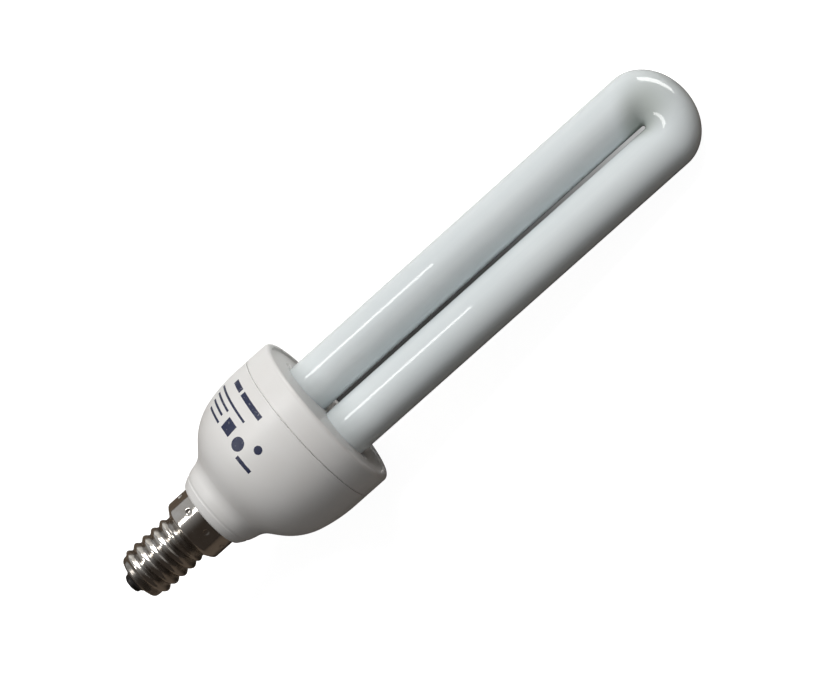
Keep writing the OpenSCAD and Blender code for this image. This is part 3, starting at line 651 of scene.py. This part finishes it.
points, faces = [], []
for side in (1, -1):
    rows = [(58.0, 0), (face_z - 0.25, 0), (face_z, 0.25)]
    rings = [[(x, y, z) for x, y in keyhole(side, 6.5 + grow, 1 + grow, 1.5)] for z, grow in rows]
    rings += [[(x, y, face_z + 3) for x, y in keyhole(side, 6.75, 1.25, 1.5)]]
    more, quads = skin_rings(rings)
    faces += [tuple(len(points) + k for k in quad) for quad in quads]
    points += more
cutter = new_piece("cutter", points, faces)
cut = holder.modifiers.new("leg_holes", "BOOLEAN")
cut.operation, cut.solver, cut.object = "DIFFERENCE", "EXACT", cutter
with bpy.context.temp_override(object=holder, active_object=holder):
    bpy.ops.object.modifier_apply(modifier=cut.name)
bpy.data.objects.remove(cutter)
back_to_lamp = LAY.inverted()
places = [x for v in holder.data.vertices for x in back_to_lamp @ v.co]
holder.data.attributes["lamp_place"].data.foreach_set("vector", places)
holder.data.set_sharp_from_angle(angle=math.radians(28))
holder_white = satin_plastic("white_holder", (0.84, 0.835, 0.825), (0.81, 0.795, 0.775), 0.32)
dress(holder, holder_white, "white_holder", "tube_holder")

# %% [markdown]
# ## The screw cap
# The shell is rolled from thin nickel-plated sheet, so its thread is a wave of even thickness and not a cut groove. A
# grid of points round the cap takes its radius from the angle and the height together: the wave climbs one pitch in one
# turn, and it fades out at both ends. The collar above it is punched inward at eight places to hold on to the plastic.

# %% The shell
thread_z, thread_top, collar_z = 3.7, 18.2, 20.6
root_r, crest_r, collar_r, mouth_r, sheet = 6.12, 6.93, 8.5, 4.65, 0.35
pitch, stake_r, stake_depth, stake_z, stake_turn = 2.822, 1.2, 0.4, neck_z - 2.1, 31.5


def ease(t):
    t = min(max(t, 0), 1)
    return t * t * (3 - 2 * t)


def shell_radius(base, angle, z):
    rise = 0
    if thread_z < z < thread_top:
        wave = (1 + math.cos(2 * math.pi * ((z - thread_z - 1) / pitch - angle / (2 * math.pi)))) / 2
        rise = (crest_r - root_r) * wave * ease((z - thread_z) / 1.6) * ease((thread_top - z) / 1.6)
    dent = 0
    if z > collar_z:
        spacing = 2 * math.pi / 8
        off = (angle - math.radians(stake_turn) + spacing / 2) % spacing - spacing / 2
        reach2 = (collar_r * math.sin(off)) ** 2 + (z - stake_z) ** 2
        if reach2 < stake_r ** 2:
            dent = max(0, math.sqrt(stake_r ** 2 - reach2) - stake_r + stake_depth)
    return base + rise - dent


def steps_between(low, high, count):
    return [low + (high - low) * k / count for k in range(count + 1)]


skirt = [(mouth_r, 2.55), (5.2, 2.6), (root_r - 0.35, 2.85), (root_r - 0.08, 3.2), (root_r, 3.55)]
skirt += [(root_r, z) for z in steps_between(thread_z, thread_top, 104)]
cone = [(root_r + (collar_r - root_r) * ease(k / 10), thread_top + (collar_z - thread_top) * k / 10)
        for k in range(1, 10)]
rows = skirt + cone + [(collar_r, z) for z in steps_between(collar_z, neck_z, 40)]
inside = [(r - sheet, z + sheet * (0.9 if z < 3 else 0)) for r, z in reversed(rows[::2])]
around = 216
grid = []
for r, z in rows + inside:
    turns = [2 * math.pi * j / around for j in range(around)]
    grid.append([(shell_radius(r, a, z) * math.cos(a), shell_radius(r, a, z) * math.sin(a), z) for a in turns])
shell = new_piece("cap_shell", *skin_rings(grid, closed=True), sharp=50)
print("rows of the shell:", len(grid))

# %% [markdown]
# Nickel is a warm metal next to chrome. The hollows of the thread are painted near black as shade and made rougher, and
# the crests stay bright. The height of each point above the thread's root is known, so distance from the axis makes the
# mask. Fine turning marks run round the cap, and cloudy tarnish makes the roughness uneven.

# %% Finish of the shell
nickel, surface, place, add, join, effect, tone, level, relief = finish("nickel_shell")
parts = add("ShaderNodeSeparateXYZ")
join(place, parts.inputs[0])
squares = [add("ShaderNodeMath", operation="MULTIPLY") for _ in "xy"]
for square, axis in zip(squares, "XY"):
    join(parts.outputs[axis], square.inputs[0])
    join(parts.outputs[axis], square.inputs[1])
total = add("ShaderNodeMath", operation="ADD")
join(squares[0].outputs[0], total.inputs[0])
join(squares[1].outputs[0], total.inputs[1])
radius = add("ShaderNodeMath", operation="SQRT")
join(total.outputs[0], radius.inputs[0])
groove = add("ShaderNodeMapRange", clamp=True, interpolation_type="SMOOTHSTEP")
join(radius.outputs[0], groove.inputs["Value"])
groove.inputs["From Min"].default_value = root_r * MM
groove.inputs["From Max"].default_value = (crest_r - 0.15) * MM
groove.inputs["To Min"].default_value = 1
groove.inputs["To Max"].default_value = 0
tarnish = effect(mottle, Scale=420, Low=0.35, High=0.72)
# the hollows of the thread get a painted shade in their colour, and more roughness
dull_and_painted_shade = add("ShaderNodeMath", operation="MULTIPLY")
join(groove.outputs["Result"], dull_and_painted_shade.inputs[0])
join(level(tarnish, 0.35, 1), dull_and_painted_shade.inputs[1])
plate = tone(tarnish, (0.74, 0.71, 0.67), (0.66, 0.615, 0.56))
# near black in the hollows: painted shade
plate = tone(level(dull_and_painted_shade.outputs[0], 0, 0.85), plate, (0.12, 0.105, 0.09))
join(plate, surface.inputs["Base Color"])
surface.inputs["Metallic"].default_value = 1
rough = add("ShaderNodeMath", operation="MULTIPLY_ADD")
join(dull_and_painted_shade.outputs[0], rough.inputs[0])
rough.inputs[1].default_value = 0.22
join(level(effect(scuffs, Across=260, Along=2600, Amount=1.2), 0.11, 0.26), rough.inputs[2])
join(rough.outputs[0], surface.inputs["Roughness"])
relief(effect(grain, Scale=1400, Coarse=0.75), 0.12, 0.04 * MM)
dress(shell, nickel, "nickel_shell", "screw_shell")

# %% [markdown]
# ## Insulator and contact
# Black glass fills the mouth of the shell and stands out as a low cone. On its tip sits the centre contact, a brass
# eyelet closed with a blob of solder, which oxidises to a dark grey and is never quite round.

# %% Insulator
outline = [(0, 1.35), (2.72, 1.35), (2.86, 1.42), (2.95, 1.55)]
outline += [(2.95 + (4.55 - 2.95) * ease(k / 8), 1.55 + (2.52 - 1.55) * k / 8) for k in range(1, 9)]
outline += [(4.62, 2.62), (4.62, 2.9), (5.2, 3.7), (5.2, 5.6), (0, 5.6)]
insulator = new_piece("cap_glass", *turn_outline(outline, 128))
black_glass, surface, place, add, join, effect, tone, level, relief = finish("black_glass")
smoke = effect(mottle, Scale=500, Low=0.3, High=0.7)
join(tone(smoke, (0.008, 0.008, 0.010), (0.022, 0.021, 0.022)), surface.inputs["Base Color"])
join(level(smoke, 0.10, 0.24), surface.inputs["Roughness"])
surface.inputs["IOR"].default_value = 1.55
relief(effect(grain, Scale=900, Coarse=0.6), 0.10, 0.05 * MM)
dress(insulator, black_glass, "black_glass", "cap_insulator")

# %% Contact
rows = [(0.0, 0.02), (0.5, 0.03), (1.1, 0.05), (1.6, 0.1), (1.95, 0.2), (2.2, 0.34), (2.38, 0.52), (2.48, 0.75),
        (2.52, 1.0), (2.5, 1.28), (0, 1.28)]
points, faces = turn_outline(rows, 96)
uneven = [1 + 0.02 * math.sin(3 * math.atan2(y, x) + 1) + 0.012 * math.sin(7 * math.atan2(y, x)) for x, y, z in points]
points = [(x * u, y * u, z) for (x, y, z), u in zip(points, uneven)]
contact = new_piece("cap_contact", points, faces)
solder, surface, place, add, join, effect, tone, level, relief = finish("tinned_contact")
oxide = effect(mottle, Scale=700, Low=0.3, High=0.7)
join(tone(oxide, (0.060, 0.055, 0.050), (0.018, 0.017, 0.016)), surface.inputs["Base Color"])
surface.inputs["Metallic"].default_value = 0.8
join(level(oxide, 0.30, 0.55), surface.inputs["Roughness"])
relief(effect(grain, Scale=1100, Coarse=0.5), 0.35, 0.08 * MM)
dress(contact, solder, "tinned_contact", "centre_contact")

# %% [markdown]
# ## Print
# Real housings carry lines of printed data. Here the place is marked with plain bars, a square and a disc, which say
# nothing. Each mark is a thin skin of ink laid on the bowl: its corners are given as an angle round the lamp and a
# distance back from the parting line, so it follows the curve of the wall.


# %% Marks on the bowl
def on_bowl(angle, back, lift):
    """The point on the bowl at an angle in degrees and a distance back along its wall, raised by lift."""
    left, spot = back, (body_r, split_z)
    for point in reversed(outer):
        step = math.dist(spot, point)
        if step >= left:
            break
        left, spot = left - step, point
    t = left / step
    way = ((point[0] - spot[0]) / step, (point[1] - spot[1]) / step)
    r = spot[0] + way[0] * left - way[1] * lift
    z = spot[1] + way[1] * left + way[0] * lift
    a = math.radians(angle)
    return (r * math.cos(a), r * math.sin(a), z)


def ink_patch(rows_of_spots):
    """A thin closed skin over a grid of (angle, back) spots."""
    n, m = len(rows_of_spots), len(rows_of_spots[0])
    points = [on_bowl(a, b, lift) for lift in (0.02, -0.03) for row in rows_of_spots for a, b in row]
    faces = []
    for i in range(n - 1):
        for j in range(m - 1):
            quad = (i * m + j, i * m + j + 1, (i + 1) * m + j + 1, (i + 1) * m + j)
            faces += [quad, tuple(n * m + k for k in reversed(quad))]
    border = [j for j in range(m)] + [i * m + m - 1 for i in range(1, n)]
    border += [(n - 1) * m + j for j in range(m - 2, -1, -1)] + [i * m for i in range(n - 2, 0, -1)]
    for a, b in zip(border, border[1:] + border[:1]):
        faces.append((a, n * m + a, n * m + b, b))
    return points, faces


def bar(angle0, angle1, back, high, columns=28):
    return [[(angle0 + (angle1 - angle0) * j / columns, back + high * (i / 3 - 0.5)) for j in range(columns + 1)]
            for i in range(4)]


def disc(angle, back, radius, columns=24):
    per_mm = 180 / (math.pi * body_r)
    rows = []
    for i in range(columns + 1):
        x = math.cos(math.pi * i / columns)
        half = math.sqrt(max(1e-4, 1 - x * x))
        rows.append([(angle + radius * x * per_mm, back + radius * half * (j / 6 - 0.5) * 2) for j in range(7)])
    return rows


marks = [bar(40, 53, 3.9, 1.4), bar(56, 80, 3.9, 1.4), bar(29, 74, 7.5, 0.6), bar(32, 58, 9.3, 0.6),
         bar(34, 56, 11.1, 0.6), bar(37, 58, 12.9, 0.6), bar(62.5, 72.5, 11.3, 3.3), disc(81.5, 12.0, 1.8),
         disc(94, 9.0, 1.1), bar(87, 101, 14.2, 1.0)]
points, faces = [], []
for mark in marks:
    more, quads = ink_patch(mark)
    faces += [tuple(len(points) + k for k in quad) for quad in quads]
    points += more
print_marks = new_piece("print_marks", points, faces)
ink, surface, place, add, join, effect, tone, level, relief = finish("navy_ink")
worn = effect(scuffs, Across=1500, Along=1500, Amount=0.9)
join(tone(worn, (0.022, 0.028, 0.07), (0.45, 0.44, 0.46)), surface.inputs["Base Color"])
join(level(effect(mottle, Scale=900, Low=0.3, High=0.7), 0.35, 0.55), surface.inputs["Roughness"])
dress(print_marks, ink, None)

# %% [markdown]
# ## What is sealed inside
# The ballast can't be seen, but its solids are part of the model, so each gets a finish as well. One recipe with two
# tones, a mottle and a fine relief covers all of them: only the colours, the gloss and the metal share change.


# %% Finishes of the inner pieces
def inner_finish(name, first, second, scale, low, high, metal=0.0):
    material, surface, place, add, join, effect, tone, level, relief = finish(name, lamp_axes=False)
    mask = effect(mottle, Scale=scale, Low=0.3, High=0.7)
    join(tone(mask, first, second), surface.inputs["Base Color"])
    join(level(mask, low, high), surface.inputs["Roughness"])
    surface.inputs["Metallic"].default_value = metal
    relief(effect(grain, Scale=scale * 6, Coarse=0.4), 0.15, 0.04 * MM)
    return material


inner_slots = {
    "cement": inner_finish("cement", (0.82, 0.80, 0.74), (0.70, 0.67, 0.60), 400, 0.7, 0.95),
    "board": inner_finish("board", (0.62, 0.50, 0.28), (0.52, 0.40, 0.20), 250, 0.45, 0.65),
    "solder": inner_finish("solder", (0.72, 0.72, 0.72), (0.55, 0.55, 0.56), 900, 0.25, 0.45, 1.0),
    "capacitor_sleeve": inner_finish("capacitor_sleeve", (0.05, 0.06, 0.16), (0.03, 0.04, 0.11), 200, 0.25, 0.4),
    "ferrite": inner_finish("ferrite", (0.13, 0.13, 0.13), (0.08, 0.08, 0.085), 800, 0.5, 0.75),
    "bobbin_plastic": inner_finish("bobbin_plastic", (0.80, 0.76, 0.62), (0.74, 0.69, 0.54), 150, 0.4, 0.55),
    "copper_wire": inner_finish("copper_wire", (0.62, 0.30, 0.14), (0.50, 0.22, 0.10), 1200, 0.25, 0.4, 0.8),
    "red_wire": inner_finish("red_wire", (0.60, 0.05, 0.05), (0.50, 0.04, 0.04), 300, 0.3, 0.45),
    "blue_wire": inner_finish("blue_wire", (0.04, 0.08, 0.45), (0.03, 0.06, 0.36), 300, 0.3, 0.45),
    "black_epoxy": inner_finish("black_epoxy", (0.03, 0.03, 0.03), (0.05, 0.05, 0.05), 900, 0.5, 0.7),
    "blue_glaze": inner_finish("blue_glaze", (0.12, 0.28, 0.52), (0.10, 0.22, 0.44), 500, 0.15, 0.3),
    "green_epoxy": inner_finish("green_epoxy", (0.06, 0.26, 0.12), (0.05, 0.20, 0.09), 300, 0.2, 0.35),
    "brown_epoxy": inner_finish("brown_epoxy", (0.36, 0.10, 0.06), (0.28, 0.08, 0.05), 300, 0.2, 0.35),
    "tan_glaze": inner_finish("tan_glaze", (0.66, 0.52, 0.34), (0.58, 0.45, 0.28), 400, 0.25, 0.4),
}
slots = {part["node"]: part["material_slot"] for part in frame["record"]["subparts"]}
dressed = 0
for name, node in frame["nodes"].items():
    if not node.hide_render:
        node.data.materials.clear()
        node.data.materials.append(inner_slots[slots[name]])
        dressed += 1
print("inner nodes dressed:", dressed)
